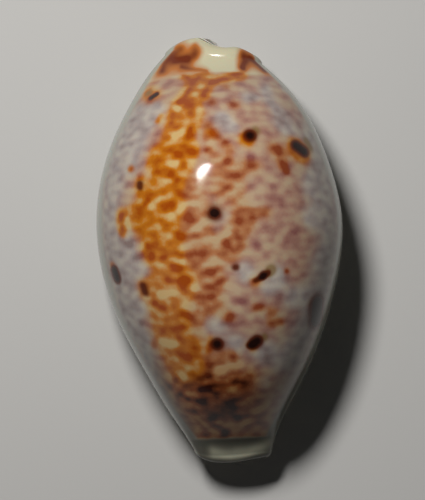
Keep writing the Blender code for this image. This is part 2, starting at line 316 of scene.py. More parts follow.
def half_columns():
    """Columns of one side as (kind, value, rim place), outside and inside."""
    angles = [90 * i / LIP_STEPS for i in range(1, LIP_STEPS)]
    outside = [("lip", angle, -LIP_GAP * angle / 90) for angle in reversed(angles)]
    for i in range(BASE_STEPS):
        place = np.sin(np.radians(90 * (i / BASE_STEPS) ** BASE_CLOSER)) ** (2 / BASE_ROUND)
        outside.append(("outer", place, place))
    outside += [("outer", 1 + i / BACK_STEPS, 1 + i / BACK_STEPS) for i in range(BACK_STEPS)]
    inside = [("lip", 90.0, -LIP_GAP)]
    walls = [WALL_PLACE * i / WALL_STEPS for i in range(1, WALL_STEPS + 1)]
    floors = [WALL_PLACE + (1 - WALL_PLACE) * i / FLOOR_STEPS for i in range(1, FLOOR_STEPS + 1)]
    vaults = [1 + i / VAULT_STEPS for i in range(1, VAULT_STEPS)]
    inside += [("inner", place, place) for place in walls + floors + vaults]
    return outside, inside


def round_trip():
    """Every column as (side, kind, value, rim place), round the outside and round the inside."""
    rows = []
    for half, top in zip(half_columns(), ("outer", "inner")):
        row = [(COLUMELLA, kind, value, place) for kind, value, place in half]
        row.append((COLUMELLA, top, CREST_PLACE, CREST_PLACE))
        row += [(OUTER, kind, value, WHOLE_ROUND - place) for kind, value, place in reversed(half)]
        rows.append(row)
    return rows


outer_row, inner_row = round_trip()
print(len(outer_row), "columns outside and", len(inner_row), "inside")

# %% [markdown]
# The two ends are rims around the canals. Each rim leans, because the roof, the columella and the
# outer lip reach a different distance. One row lies at each station along the shell, and near the
# ends the rows are drawn out or held back so that the last one is the rim.

# %% Rims
anterior_rim = curve(
    0, -17.05, 1, -17.22, 1.5, -17.2, 2, -17.38, 2.5, -17.3, 2.8, -17.05, 3, -16.8, 4, -16.95)
posterior_rim = curve(
    0, 15.9, 1, 15.65, 1.35, 16.1, 1.7, 16.38, 2, 16.38, 2.45, 17.15, 2.75, 17.2, 3, 16.75,
    3.5, 16.55, 4, 16.25)
RIM_REACH = 5.0
anterior_end = anterior_rim(CREST_PLACE)
posterior_end = posterior_rim(CREST_PLACE)


def stations():
    """Places of the rows along the shell, in a number that the coarse rows divide."""
    first = TOOTH_START[OUTER]
    last = first + TOOTH_COUNT[OUTER] * TOOTH_PITCH
    step = TOOTH_PITCH / ROWS_PER_TOOTH
    head = int(round((first - anterior_end) / step))
    tail = int(round((posterior_end - last) / step))
    tail += -(head + tail) % COARSE
    start = np.linspace(anterior_end, first, head + 1)[:-1]
    teeth = first + step * np.arange(TOOTH_COUNT[OUTER] * ROWS_PER_TOOTH + 1)
    end = np.linspace(last, posterior_end, tail + 1)[1:]
    return np.concatenate([start, teeth, end])


def along(y, place):
    """The rows of one column, drawn out or held back so that they end on the rims."""
    head = smooth_step(1 - (y - anterior_end) / RIM_REACH)
    tail = smooth_step(1 - (posterior_end - y) / RIM_REACH)
    place = np.clip(place, 0.0, WHOLE_ROUND)
    return (y + (anterior_rim(place) - anterior_end) * head
            + (posterior_rim(place) - posterior_end) * tail)


print(len(stations()), "stations along the shell")

# %% [markdown]
# Past each rim the rows round over, until the outside and the inside close on each other. The layer
# of the outside and the layer of the hollow then lie side by side in one grid.

# %% Close the ends
ANTERIOR_ROUND = 0.62
POSTERIOR_ROUND = 0.85
RIM_LIP_PLACE = 0.4
RIM_STEPS = 11


def row_at(where, place, row):
    """The points of one row at other places round the section."""
    return np.stack([np.interp(where, place, row[:, axis]) for axis in range(3)], axis=-1)


def rim(row, place, other, other_place, reach):
    """Rounded rows past an end, where the outside and the inside close on each other."""
    inside_lip = np.clip(place, RIM_LIP_PLACE, WHOLE_ROUND - RIM_LIP_PLACE)
    middle = (row_at(inside_lip, place, row) + row_at(inside_lip, other_place, other)) / 2
    rows = []
    for i in range(1, RIM_STEPS + 2):
        angle = np.radians(90 * i / (RIM_STEPS + 2))
        closing = middle + np.cos(angle) * (row - middle)
        closing[:, 1] = row[:, 1] + reach * np.sin(angle)
        rows.append(closing)
    return np.array(rows)


def layer(row):
    """Points and groove depths of one row of columns at every station."""
    made = [column(along(stations(), place), side, kind, value)
            for side, kind, value, place in row]
    points = np.stack([points for points, _ in made], axis=1)
    depths = np.stack([depth for _, depth in made], axis=1)
    return points, depths


def closed_layer(this, this_place, other, other_place):
    """One layer of points with its rounded rims at both ends."""
    head = rim(this[0], this_place, other[0], other_place, -ANTERIOR_ROUND)
    tail = rim(this[-1], this_place, other[-1], other_place, POSTERIOR_ROUND)
    return np.concatenate([head[::-1], this, tail])


outer_place = np.array([place for _, _, _, place in outer_row])
inner_place = np.array([place for _, _, _, place in inner_row])
outer_open, outer_groove = layer(outer_row)
inner_open, inner_groove = layer(inner_row)
outside = closed_layer(outer_open, outer_place, inner_open, inner_place)
inside = closed_layer(inner_open, inner_place, outer_open, outer_place)
grid = np.concatenate([outside, inside[:, ::-1]], axis=1)
grid_place = np.concatenate([outer_place, -inner_place[::-1]])
grid_groove = np.pad(np.concatenate([outer_groove, inner_groove[:, ::-1]], axis=1),
                     ((RIM_STEPS + 1, RIM_STEPS + 1), (0, 0)), mode="edge")
print("the grid has", grid.shape[0], "rows and", grid.shape[1], "columns")

# %% [markdown]
# The grid becomes one closed mesh. Its faces have four sides. Only where the fine columns meet the
# coarse ones of the hollow does a face take in the extra points, so no gap opens. Triangles close
# the two rims.

# %% Faces
def strip_faces(index, left, right, step):
    """Faces between two columns. Where one is coarser, its faces take the finer one's points in."""
    faces = []
    for i in range(0, len(index) - 1, step):
        up = [index[k, left] for k in range(i, i + step + 1)]
        down = [index[k, right] for k in range(i + step, i - 1, -1)]
        faces.append([v for v in up + down if v >= 0])
    return faces


def end_faces(outer_ring, outer_places, inner_ring, inner_places):
    """Triangles that close a rim between its outer and its inner ring of points."""
    faces = []
    i = 0
    j = 0
    while i < len(outer_ring) - 1 or j < len(inner_ring) - 1:
        outer_next = outer_places[i + 1] if i < len(outer_ring) - 1 else np.inf
        inner_next = inner_places[j + 1] if j < len(inner_ring) - 1 else np.inf
        if outer_next <= inner_next:
            faces.append([outer_ring[i], outer_ring[i + 1], inner_ring[j]])
            i += 1
        else:
            faces.append([outer_ring[i], inner_ring[j + 1], inner_ring[j]])
            j += 1
    return faces


print(len(grid) - 1, "strips of faces along the shell")

# %% [markdown]
# First the grid is brought to the solid's own box, so the skin ends exactly where the solid does.
# Smooth shading then hides the last facets.

# %% Build the skin
def to_box(points):
    """Moves and scales the points, in mm, until they fill the solid's box."""
    low = points.reshape(-1, 3).min(axis=0)
    high = points.reshape(-1, 3).max(axis=0)
    box_low = np.array(shell_low) / MM
    box_high = np.array(shell_high) / MM
    return box_low + (points - low) * (box_high - box_low) / (high - low)


def skin_mesh(points):
    """The closed mesh, and which points of the grid it keeps."""
    fine = np.array([kind != "inner" or value <= WALL_PLACE
                     for _, kind, value, _ in outer_row + inner_row[::-1]])
    kept = fine[None, :] | (np.arange(len(points)) % COARSE == 0)[:, None]
    index = np.where(kept, np.cumsum(kept).reshape(kept.shape) - 1, -1)
    faces = []
    for k in range(len(fine)):
        after = (k + 1) % len(fine)
        faces += strip_faces(index, k, after, 1 if fine[k] and fine[after] else COARSE)
    turns = len(outer_row)
    first = end_faces(index[0, :turns], outer_place, index[0, turns:][::-1], inner_place)
    last = end_faces(index[-1, :turns], outer_place, index[-1, turns:][::-1], inner_place)
    faces += [face[::-1] for face in first] + last
    mesh = bpy.data.meshes.new("shell_skin")
    mesh.from_pydata(points[kept] * MM, [], [[int(v) for v in face] for face in faces])
    mesh.shade_smooth()
    return mesh, kept


grid = to_box(grid)
skin, kept = skin_mesh(grid)
shell_skin = bpy.data.objects.new("shell_skin", skin)
bpy.context.collection.objects.link(shell_skin)
triangles = sum(len(face.vertices) - 2 for face in skin.polygons)
print("the skin has", len(skin.vertices), "points and", triangles, "triangles")

# %% [markdown]
# The cowrie's mantle lays its colours down in thin layers, and each mark is a soft-edged blot
# under clear enamel. A mark is written here as its radius and then x and y of each point of a short
# chain, all in mm and seen in plan. The points are dropped onto the back, and each vertex then gets
# a strength that falls with its distance from the chain. Heights count half in that distance, so
# marks are drawn out a little down the steep sides, as they are on the real shell. Strengths add
# up, so neighbours run together as wet blots do. A little noise moves the points first, so that no
# edge is a perfect circle. Its seed is fixed, because without one no two runs would look alike.

# %% How a mark is painted
WOBBLE_SIZE = 1.3
WOBBLE = 0.16
WOBBLE_SEED = 6
UPRIGHT = np.array([1.0, 1.0, 0.5])
NO_LENGTH = 1e-9
points_mm = grid[kept]
place_of = np.broadcast_to(grid_place, kept.shape)[kept]
groove_of = grid_groove[kept]
side_place = np.where(place_of > CREST_PLACE, WHOLE_ROUND - place_of, place_of)
back_points = points_mm[side_place > 1]


def bent(points, size, reach):
    """The points, each moved a little by smooth noise."""
    moves = [noise.noise_vector(Vector(point) / size) for point in points]
    return points + reach * np.array(moves)


def on_back(x, y):
    """The point of the back over this place in plan."""
    away = (back_points[:, 0] - x) ** 2 + (back_points[:, 1] - y) ** 2
    return back_points[np.argmin(away)]


def distance(points, start, end):
    """Distance of each point from the line between two points, with heights counted half."""
    line = (end - start) * UPRIGHT
    away = (points - start) * UPRIGHT
    reach = max(float(line @ line), NO_LENGTH)
    part = np.clip(away @ line / reach, 0.0, 1.0)
    return np.linalg.norm(away - part[:, None] * line, axis=1)


def painted(marks, points, spread=1.0):
    """Strength of a set of marks: 0.5 at a mark's radius, 1 or more in its middle."""
    strength = np.zeros(len(points))
    for radius, *places in marks:
        landed = [on_back(x, y) for x, y in zip(places[::2], places[1::2])]
        ends = zip(landed, landed[1:]) if len(landed) > 1 else [(landed[0], landed[0])]
        away = np.min([distance(points, start, end) for start, end in ends], axis=0)
        strength += 0.5 ** ((away / (radius * spread)) ** 2)
    return strength


noise.seed_set(WOBBLE_SEED)
bent_points = bent(points_mm, WOBBLE_SIZE, WOBBLE)
print("the marks fall on", len(back_points), "points of the back")

# %% [markdown]
# The pale net first. On the shell it is bare cream enamel that shows between the blots, brightest
# in a few patches near the middle. In the amber band its gaps are small and sharp. Both lists take
# pigment away, so their weights further down are below zero.

# %% Cream patches
CREAM_MARKS = (
    (0.45, -1, 13.8), (0.26, -1.6, 13.3, -1.4, 12.3, -1.3, 11.3, -1.4, 10.3, -1.3, 9.3),
    (0.28, 0.3, 13, 0.6, 13), (0.24, 2.4, 13.4), (0.25, 0.8, 11.8, 1.6, 11.2), (0.25, 2.8, 11.7),
    (0.3, 5.3, 13.2), (0.25, -0.5, 9), (0.3, 2.3, 8.7), (0.3, 1.6, 7.3), (0.3, 7, 7.2),
    (0.27, -2.3, 1.95, -1.2, 2.2), (0.3, -3.2, 0.5, -2.2, 0.6, -1, 0.6, 0, 0.9, 0.8, 1.2),
    (0.25, -7.1, 0.9, -6.8, 0.3), (0.3, -1.4, -1, -0.7, -1), (0.3, 1.8, 4.9, 2.4, 4.5, 3, 4.2, 3.1, 3.8),
    (0.25, 2.3, 3.6, 3, 3.7), (0.3, 2.1, 6), (0.3, 0.3, 5.7), (0.38, 4, 0.15), (0.28, 6.4, 2.2, 7, 2.8),
    (0.28, 7.5, 3.8), (0.28, 4.7, -0.8, 5.3, -0.9), (0.25, -2.2, -3.2), (0.38, -8.1, -3),
    (0.38, 0.8, -3.2, 1.1, -3), (0.3, -0.2, -5.1, 0.7, -4.8, 1.8, -5.4, 2.3, -5.6), (0.4, -2.2, -6.4),
    (0.3, 1.4, -8.4, 1.2, -9.4), (0.4, 4.7, -6.9),
    (0.2, -3.2, -13.2, -2.4, -14.2, -1.7, -14.9, -0.9, -15.5),
    (0.24, 0.2, -15.7, 1.2, -14.9, 2, -14.2, 2.6, -13.6), (0.3, -1.8, -14), (0.3, -0.7, -14.5),
    (0.75, 0.4, 16.3, 1.2, 16.1), (0.35, -1.6, 17.8, -0.8, 17.6),
)
AMBER_GAPS = (
    (0.36, 0.5, -9.85, -0.2, -10.1, -0.9, -10.4), (0.3, -2.5, 10.9, -2.8, 10.2, -3.3, 9.9),
    (0.25, -3.2, 12, -3.6, 12.5, -4.2, 12.2), (0.36, -3.8, 7.4, -3.4, 7.4), (0.3, -4.9, 6, -4.1, 6),
    (0.36, -4.8, 4.6, -4.1, 4.6), (0.28, -5.1, 4.2, -5.6, 3.8), (0.3, -4.5, 3, -4, 2.95),
    (0.22, -3.9, 3.1, -3.4, 3.4, -2.6, 4, -2, 4), (0.25, -7.6, 2.9, -7.6, 1.7),
    (0.33, -5.1, 2, -4.6, 1.8, -4.2, 1.5), (0.25, -3.7, -0.8, -3.1, -0.8), (0.45, -4.9, -3.5, -4.2, -3.4),
    (0.38, -2.9, -4.2, -2.7, -4.3), (0.35, -5, -7.5, -4.2, -7.6), (0.33, -5.8, -8.3, -5.3, -8.1),
    (0.3, -4.1, -9.1), (0.33, -3.1, -9.6), (0.28, -3.7, -10.1, -3.7, -10.5),
)
print(len(CREAM_MARKS) + len(AMBER_GAPS), "pale marks")

# %% [markdown]
# Under the surface lie cool clouds. Where the brown is thin, the blue-grey of the layer below
# shows through, and where they overlap the eye sees mauve. The last streak of the first list, on
# the crease near the posterior end, is no cloud but a painted highlight.

# %% Blue-grey and mauve clouds, and one painted highlight
HAZE_AND_GLINT_MARKS = (
    (0.5, 1.9, -1.8, 2, -2.2), (0.5, 4.7, -2.2, 4.6, -2.9, 3.9, -3.2), (0.42, -6.6, -3.8),
    (0.33, -7, -3.2), (0.36, -6.6, -1.5), (0.62, -1.3, -6.1, -0.7, -6.1), (0.62, 6.1, -4.2),
    (0.75, 3.4, -8.9), (0.55, 0.8, -7.9), (0.5, 0.3, 2.4, -0.2, 2), (0.36, -0.9, 5.2, -0.7, 4.4),
    (0.52, 7.8, 2.4), (0.62, 8, 5), (0.5, -5.4, 12.2), (0.33, 6, 13.4), (0.42, 2.9, -11.3),
    # The second mark on the next line, on the crease, is a painted highlight.
    (0.36, -8.1, 0.2), (0.3, -4.4, 14.9, -3.5, 15.3),
)
MAUVE_MARKS = (
    (0.48, -2.4, 3, -1.6, 3.1), (0.55, 0, 10.9, 0.7, 10.2), (0.3, 2, 14.1), (0.42, 2.8, 7.7),
    (0.5, 4.5, 6.9), (0.42, 6.2, 6.6), (0.48, 2.7, 5.3), (0.34, 4.9, 4.7), (0.34, 4, 4.2),
    (0.42, 5.1, 3.1, 5.5, 3.7), (0.32, 6.7, 3, 7, 3.8), (0.38, 3.1, 0.9), (0.33, 4, 1.2, 4.4, 0.9),
    (0.34, 3.1, 0), (0.33, 4, -0.8), (0.6, 5.9, 0.3), (0.38, 6.3, 1.4), (0.3, 5.8, 6.3), (0.3, 1, 7.6),
    (0.38, 1.1, -4.35), (0.3, 2, -4.2), (0.3, 4.8, -4.1), (0.38, 6.6, -2.3), (0.6, 1, -6.4),
    (0.38, 1.5, -6.1), (0.42, 6, -6.6), (0.34, -6.5, -5.6), (0.24, -6.9, -6), (0.28, -8, -5.7),
    (0.34, -5.3, -8.9), (0.34, -1.1, -9.7, -0.5, -9.4), (0.34, 1.7, -10), (0.38, -4.7, -11.5),
    (0.48, -8, 0.9, -7.4, 0.5), (0.34, -7.3, -0.2, -6.8, -0.3), (0.34, -4.9, 10.2, -5.1, 9.6),
    (0.3, -7.2, 9.2), (0.3, -5.8, 8.6), (0.42, 5.1, 11.5, 5.5, 10.5), (0.34, 6.3, 10.6), (0.38, 6.2, 9.8),
    (0.34, 3, 12.7), (0.3, 4.2, 13.5), (0.34, 2.4, -12.4),
)
print(len(HAZE_AND_GLINT_MARKS) + len(MAUVE_MARKS), "cloudy marks")

# %% [markdown]
# The warm marks come last and lie highest. Amber is a wash with soft edges, nearly all on the outer
# lip's side of the back. Rust marks are the small strong cores in it.

# %% Amber and rust
AMBER_MARKS = (
    (0.42, -5.5, 13.6), (0.34, -0.9, 14.5, -0.5, 13.8, -0.8, 13.1), (0.32, 0.2, 14.3, 2.1, 14.6),
    (0.34, -1.8, 14.3, -2.1, 13.5, -2.9, 12.7), (0.5, -2, 12.9, -1.9, 12.2, -2.1, 11.5),
    (0.34, -3.1, 12.4, -2.6, 11.9, -2.9, 11.5), (0.45, -3.6, 10.8),
    (0.36, -2, 11.2, -1.9, 10.5, -2.2, 9.8, -2.4, 9.2, -2, 8.5), (0.34, -4.1, 9.7),
    (0.55, -4.8, 8.4, -3.9, 8.5, -3, 8.3),
    (0.5, -4.9, 7.9, -4.9, 6.9, -4.3, 6.4, -3.2, 6.6, -2.8, 7.3, -2.9, 8.1),
    (0.42, -5.6, 5.2, -4.6, 5.3, -3.9, 5.2), (0.48, -5.6, 4.8, -6.2, 4), (0.5, -4.6, 3.9, -3.6, 3.8),
    (0.5, -7.2, 3.2, -6.2, 3.2, -5.1, 3.2), (0.45, -6.6, 2.4, -5.4, 2.4, -4.3, 2.3),
    (0.26, -8.2, 3.3, -8.2, 1.8), (0.46, -5.4, 1.3), (0.46, -5.2, 0.6, -4.3, 0.3),
    (0.42, -6, 0.5, -5.7, -0.3, -4.8, -0.4, -3.9, -0.2), (0.4, -4.3, -1.3, -3.4, -1.4),
    (0.42, -5, -2.4, -3.4, -2.5, -2.6, -2.4), (0.3, -5.5, -2.9, -5.6, -4.2, -5.2, -4.75, -4.1, -4.7),
    (0.3, -4.15, -4.6, -4.15, -4), (0.45, -3.2, -3.3), (0.4, -4.7, -6.1, -4.4, -6.6, -5.1, -6.8),
    (0.55, -3.7, -6.2), (0.38, -3.9, -7, -3.2, -7.7, -2.4, -7.8),
    (0.34, -4.7, -8.3, -3.9, -8.6, -2.9, -8.4), (0.38, -3, -8.7, -2.9, -9.2, -2.3, -9.3),
    (0.32, -4.6, -8.7, -4.4, -9.5, -3.7, -9.7), (0.3, -0.2, 9.8), (0.3, -1.3, 17.4, -1.3, 16.4),
    (0.24, 2.6, 16.5, 2.8, 15.9, 2.5, 15.3), (0.54, 6.75, 8.4, 7.3, 7.9), (0.38, 2.6, 9.2),
)
RUST_MARKS = (
    (0.4, -5.4, 13.1, -4.8, 13.35), (0.4, -6.55, -2.7, -6.5, -3.3), (0.36, 2.8, -2.75),
    (0.18, -2, 13.7, -2.4, 13.1, -3, 12.6), (0.26, -2.05, 11.45), (0.16, -2.1, 10.3, -2.3, 9.7),
    (0.22, -3.6, 10.85), (0.18, -3, 12.5), (0.28, -4.6, 8.65), (0.24, -3.2, 8.2),
    (0.3, -5.4, 7.2, -5, 7.2), (0.25, -2.8, 7.9, -2.7, 7), (0.28, -2, 8.5), (0.34, -4.5, 6.4, -3.9, 6.5),
    (0.27, -3.35, 6.1, -3.4, 5.6), (0.34, -5.6, 4.75), (0.22, -5.9, 4.4, -6.3, 3.9),
    (0.33, -4.3, 3.75, -3.9, 3.7), (0.38, -7, 3.2, -6.6, 3.3), (0.2, -8.25, 3.1, -8.2, 2.2),
    (0.28, -4.6, 2.35, -4.2, 2.25), (0.3, -5.4, 1.3), (0.36, -4.15, 0.7), (0.24, -6.05, 0.6, -6, 0.3),
    (0.2, -5.7, -0.1, -5.7, -0.5), (0.24, -5, -0.4, -4.6, -0.4), (0.24, -3.7, 1.35, -3.3, 1.3),
    (0.4, -3.95, -1.4), (0.22, -4.4, -2.5, -3.6, -2.5), (0.3, -3.3, -3.2, -3.1, -3.4), (0.27, -5.6, -4.2),
    (0.34, -4.15, -4.6), (0.36, -3.65, -6.15), (0.28, -5.1, -6.65), (0.26, -3.8, -7.1, -3.4, -7.6),
    (0.2, -4.6, -8.5), (0.3, -3.6, 11.7), (0.16, -4.5, 11.5, -4.8, 10.9),
    (0.18, -2.5, 14.75, -1.7, 14.45, -1.2, 14.6), (0.34, -0.5, 14.3),
    (0.2, 0, 14.25, 0.6, 14.45, 1.2, 14.65, 2.3, 14.8), (0.16, 0.1, 14.1, 1, 14.3, 2.1, 14.4),
    (0.2, -0.1, 14.1, -0.5, 13.7, -0.85, 13.1), (0.24, -0.9, 12.95), (0.2, -7.3, 7.05),
    (0.16, -2.6, 15.5, -1.5, 15.2, -0.6, 15.15), (0.22, 2.6, 15.25), (0.3, 2.5, 9.2, 2.7, 9),
    (0.44, 6.6, 8.3, 7.1, 7.7), (0.34, -6.5, 6.1, -6.5, 5.4), (0.24, -1.15, -7.5, -1.15, -8.2),
    (0.24, 2.05, -8, 2.3, -8.4), (0.22, -9.1, -0.9), (0.22, 7.5, -4.9, 7.5, -6),
)
print(len(AMBER_MARKS) + len(RUST_MARKS), "amber and rust marks")

# %% [markdown]
# The red-brown blots fill the middle, run together into bars, and crowd dark over the anterior end.

# %% Brown
BROWN_MARKS = (
    (0.42, 4.9, 8.4, 5.5, 7.8), (0.26, 5.1, 7.9, 5.2, 7.5, 5.4, 7), (0.3, 0.5, 0.4, 0.9, -0.3),
    (0.32, -0.2, 12.4), (0.34, 1.1, 13.8), (0.34, 1.7, 12.1), (0.32, -0.65, 10.4, -0.6, 9.6, -0.1, 9.4),
    (0.28, 0.8, 8.9, 1.2, 8.5), (0.34, 0.8, 7.4), (0.34, 0.2, 7.1, 0.6, 6.75, 1, 6.5, 1.5, 6.25),
    (0.34, -0.5, 8.3), (0.42, 3.1, 6.9, 2.4, 7), (0.34, 0.9, 5.2), (0.34, -2.6, 5.3), (0.4, -3, 4.7),
    (0.45, -3.2, 2.6, -2.9, 2.6), (0.42, -6.7, 1.8), (0.27, -3, 1.3, -2.2, 1.3, -1.3, 1.25),
    (0.34, -3.3, -0.2, -2.1, -0.1, -1, -0.1, -0.5, 0.05), (0.3, -2.5, -0.8, -1.9, -1.2),
    (0.3, -3.2, -1.3, -2.6, -1.4), (0.36, -1.6, -1.85, -1.1, -1.9), (0.27, -0.7, -1.8, -0.2, -1.5),
    (0.4, -3.1, -2.4, -2.8, -2.35), (0.33, -0.9, -2.9, -0.1, -2.7), (0.25, -1.3, -3.15, -0.7, -3.2),
    (0.32, -2.1, -4.2, -1.6, -4.2), (0.34, -0.9, -4, -0.4, -4.5), (0.33, -3.2, -5.1),
    (0.33, -2.7, -5.5, -2.4, -5.8), (0.33, -2.1, -4.8), (0.36, 1.8, 2.2, 2.4, 1.95),
    (0.38, 2.4, 3.1, 3.2, 3, 3.8, 3), (0.34, 1.3, 1.4, 1.5, 0.6), (0.33, 0.4, 0.5, 0.8, 0.4),
    (0.28, -2.4, -8.5), (0.32, -1.9, -9.55, -1.4, -9.7), (0.4, -2.8, -10.45),
    (0.3, -2, -10.7, -1.3, -10.5), (0.26, -4.3, -10.2, -4.1, -10.9, -3.7, -11.2),
    (0.3, -2.8, -11.65, -2, -11.7, -1.5, -11.6), (0.25, -3.9, -12, -3.3, -12.5),
    (0.4, -2.3, -12.7, -1.9, -12.6), (0.26, -1.1, -13.3, 0.3, -13.3),
    (0.3, -2.8, -13.6, -2.5, -14.3, -1.9, -15), (0.34, -0.8, -11.3), (0.34, -0.9, -12.1),
    (0.4, 0.9, -10.8), (0.3, 2.1, -10.6), (0.42, 1.1, -11.9), (0.4, -0.05, -12.8), (0.4, -1.1, -13.9),
    (0.42, 1, -14.2), (0.3, 1.5, -13.6), (0.36, -0.1, -15.3), (0.3, 0.3, -13.7), (0.3, 0.5, -11.2),
    (0.28, 0.5, -9, 0.6, -9.4), (0.2, 5.4, -2), (0.28, 2.7, -5, 3.1, -5), (0.28, 4, -6.2, 4.6, -6.2),
    (0.34, 4.1, -5.4), (0.34, 0.3, -5.6), (0.28, -5.9, -7.6), (0.26, 5.5, 7, 5.8, 6.3),
    (0.3, -2.7, 17, -3.4, 16.6, -4.2, 16, -4.3, 15.3), (0.22, 3.2, 16.1, 3.9, 15.4, 4.4, 14.9),
    (0.2, -7.5, 12.2, -8.5, 10.3),
)
print(len(BROWN_MARKS), "brown marks")

# %% [markdown]
# A lynx cowrie is named for its few large dark spots. They lie near the surface, almost black in
# the middle, with a rusty rim on one side and an olive glow on the other where the enamel has
# grown over them. The fainter ones in the second list lie deeper.

# %% Dark spots
SPOT_MARKS = (
    (0.24, -0.35, 3.1), (0.5, 2.85, 9.4), (0.48, 6.75, 8.5, 7.3, 8), (0.22, -5.3, 13, -4.8, 13.3),
    (0.46, -8.95, -1.35, -8.8, -2), (0.5, -0.65, -7.9), (0.48, 2.6, -7.85, 2.8, -7.75),
    (0.8, 7.9, -4.9, 7.75, -6.1),
)
BRUISE_MARKS = (
    (0.36, -6.5, 5.9, -6.5, 5.6), (0.72, -0.3, 3.1), (0.42, -6.55, -2.8, -6.5, -3.2), (0.3, 3.4, -2.3),
    (0.26, 2.8, -2.65, 3.8, -2), (0.36, 1.1, -1.55), (0.3, 2.1, -8.1),
)
OLIVE_MARKS = (
    (0.42, 3.4, 9.8), (0.36, 7.6, 8.9, 7.9, 8.2), (0.32, 3.3, -7.3), (0.38, 4.2, -1.7), (0.34, -5.4, 13.5),
    (0.34, 3.9, -2),
)
print(len(SPOT_MARKS), "dark spots and", len(BRUISE_MARKS), "fainter ones")

# %% [markdown]
# Beyond the crease, the posterior collar is plain cream with a brown patch on each shoulder. The
# anterior collar is plain too: its grey is painted shade, paler along its rim. Neither carries the
# crowded little blots of the back.

# %% Collar patches
COLLAR_DARK = (
    (0.45, -4.35, 15.2, -3.8, 15.8, -3, 16.1), (0.36, -3, 16.15, -2.2, 16.3),
    (0.52, 2.9, 16.2, 3.3, 15.8, 3.9, 15.3, 4.4, 14.95), (0.35, 2.4, 15.3, 2.9, 15.3),
)
COLLAR_WARM = (
    (0.5, -2.1, 15.8, -1.7, 16.2), (0.34, 2.6, 15.7), (0.7, -4.2, 16.2, -3.3, 16.9, -2.6, 17.4),
    (0.6, -3.3, 15.9, -2.2, 16), (0.6, -2.2, 16.4, -1.7, 16.7), (0.4, -1.4, 16.8, -1.35, 17.5),
    (0.42, -2.6, 15.3, -1.4, 15.2, -0.7, 15.15), (0.55, -4.7, 14.7, -3.4, 15.1),
    (0.45, 2.35, 15.2, 2.35, 16, 2.6, 16.5), (0.6, 3, 16.1, 3.9, 15.4, 4.7, 14.8),
)
PALE_MARKS = ((0.42, -1.2, -17.1, 0.2, -17.4, 1.6, -17.2, 2.7, -16.8, 3.3, -16.4),)
print(len(COLLAR_DARK) + len(COLLAR_WARM), "marks on the posterior collar")

# %% [markdown]
# Which pigment a place carries changes slowly over the shell. An amber band runs down the outer
# lip's side of the back, a red-brown field fills the middle, and cool blue-grey lies over both
# flanks. They are painted with the same brush as the marks, only broader. The amber fades a little
# from the middle to the anterior end.

# %% Broad fields of colour
AMBER_FIELD = (
    (0.6, -2.4, 14.8, -1, 14.5, 0.2, 14.3, 2.2, 14.8), (0.7, -1.8, 14.3, -1.8, 13, -2.2, 12),
    (0.95, -2.5, 11.6, -2.6, 10.5, -3, 9.5, -3.4, 8.3, -3.7, 7.2, -4, 6, -4.5, 5),
    (1.25, -5, 4, -5.1, 3, -5, 2, -4.9, 1, -4.7, 0, -4.5, -1.2, -4.5, -2.5),
    (1.2, -4.6, -2.5, -4.7, -3.8, -4.6, -5),
    (1.25, -4.6, -5, -4.6, -6.2, -4.4, -7.5, -3.9, -8.8, -3.5, -9.8), (0.6, -6.6, 3.2, -8, 3),
)
BROWN_FIELD = (
    (1.25, -1.6, 5.3, -1.6, 3, -1.5, 1.2, -1.4, 0, -1.5, -1.5, -1.4, -3, -1.3, -4.5),
    (0.9, 0.5, 7, 1, 6.3, 0.9, 5.2, 2, 3, 1.4, 1, 0.8, 0.3),
    (0.9, -2.6, -5.4, -2, -8.6, -1.4, -9.6, 0.4, -9.1),
)
COOL_FIELD = (
    (0.8, 4.3, 13.3, 5.3, 11.4, 5.9, 9.9), (0.6, 2.9, 12.7), (0.65, 0.2, 10.9, 0.9, 10.3),
    (1.4, 7.9, 9, 8.7, 6, 9, 3, 9, 0, 8.6, -3, 7.4, -6, 5.6, -9),
    (1.3, -6.6, 11.5, -7.9, 9.5, -8.7, 6.5, -9.2, 3, -9.2, 0, -8.7, -3, -7.6, -6.5),
    (0.9, -5.6, 11.6, -6.6, 9.4, -6.9, 7.6), (0.9, -7.9, 0.6, -7.5, -1.6, -7.5, -4.4),
    (0.6, -7, -7.2, -6, -9.9),
)
FIELD_BEND_SIZE = 2.2
FIELD_BEND = 0.75
FINE_SPREAD = 1.45
AMBER_FULL = 3.0
AMBER_SPAN = 7.0
AMBER_FADE = 0.18
print(len(AMBER_FIELD) + len(BROWN_FIELD) + len(COOL_FIELD), "broad strokes in three fields")

# %% [markdown]
# The marks are now painted onto the skin. Every result becomes one number per vertex, a named
# attribute that the material can read. One of them, the load, says how much pigment lies at a
# place, and the others say which pigment it is. That keeps the painting apart from its colours,
# so a colour can change without a new mark. Each list of marks has its own weight in the load, and
# two broad washes thicken it a little in the amber band and over the anterior end.

# %% Paint the marks
FRONT_WASH = ((3.2, -0.6, -12.6, -0.3, -15),)
AMBER_WASH = ((0.9, -1.8, 14.3, -2.4, 12, -2.7, 10, -3.6, 8, -4.2, 6.4, -4.9, 4.8),)
LOADS = (
    (CREAM_MARKS, -0.29), (AMBER_GAPS, -0.5), (AMBER_WASH, 0.1), (FRONT_WASH, 0.08),
    (AMBER_MARKS, 0.24), (MAUVE_MARKS, 0.36), (BROWN_MARKS, 0.44), (RUST_MARKS, 0.33),
    (COLLAR_DARK, 0.34), (COLLAR_WARM, 0.3),
)
BRUISE_PART = 0.60


def store(name, values):
    """Keeps one number per vertex under a name."""
    skin.attributes.new(name, "FLOAT", "POINT").data.foreach_set("value", values.astype(np.float32))
    print(name, "covers", f"{np.mean(values > 0.5):.1%}", "of the points")


def field(broad, fine):
    """How far a pigment rules here: fully in its field, and near its own small marks."""
    wide = painted(broad, bent(points_mm, FIELD_BEND_SIZE, FIELD_BEND))
    return smooth_step(wide + painted(fine, bent_points, FINE_SPREAD))


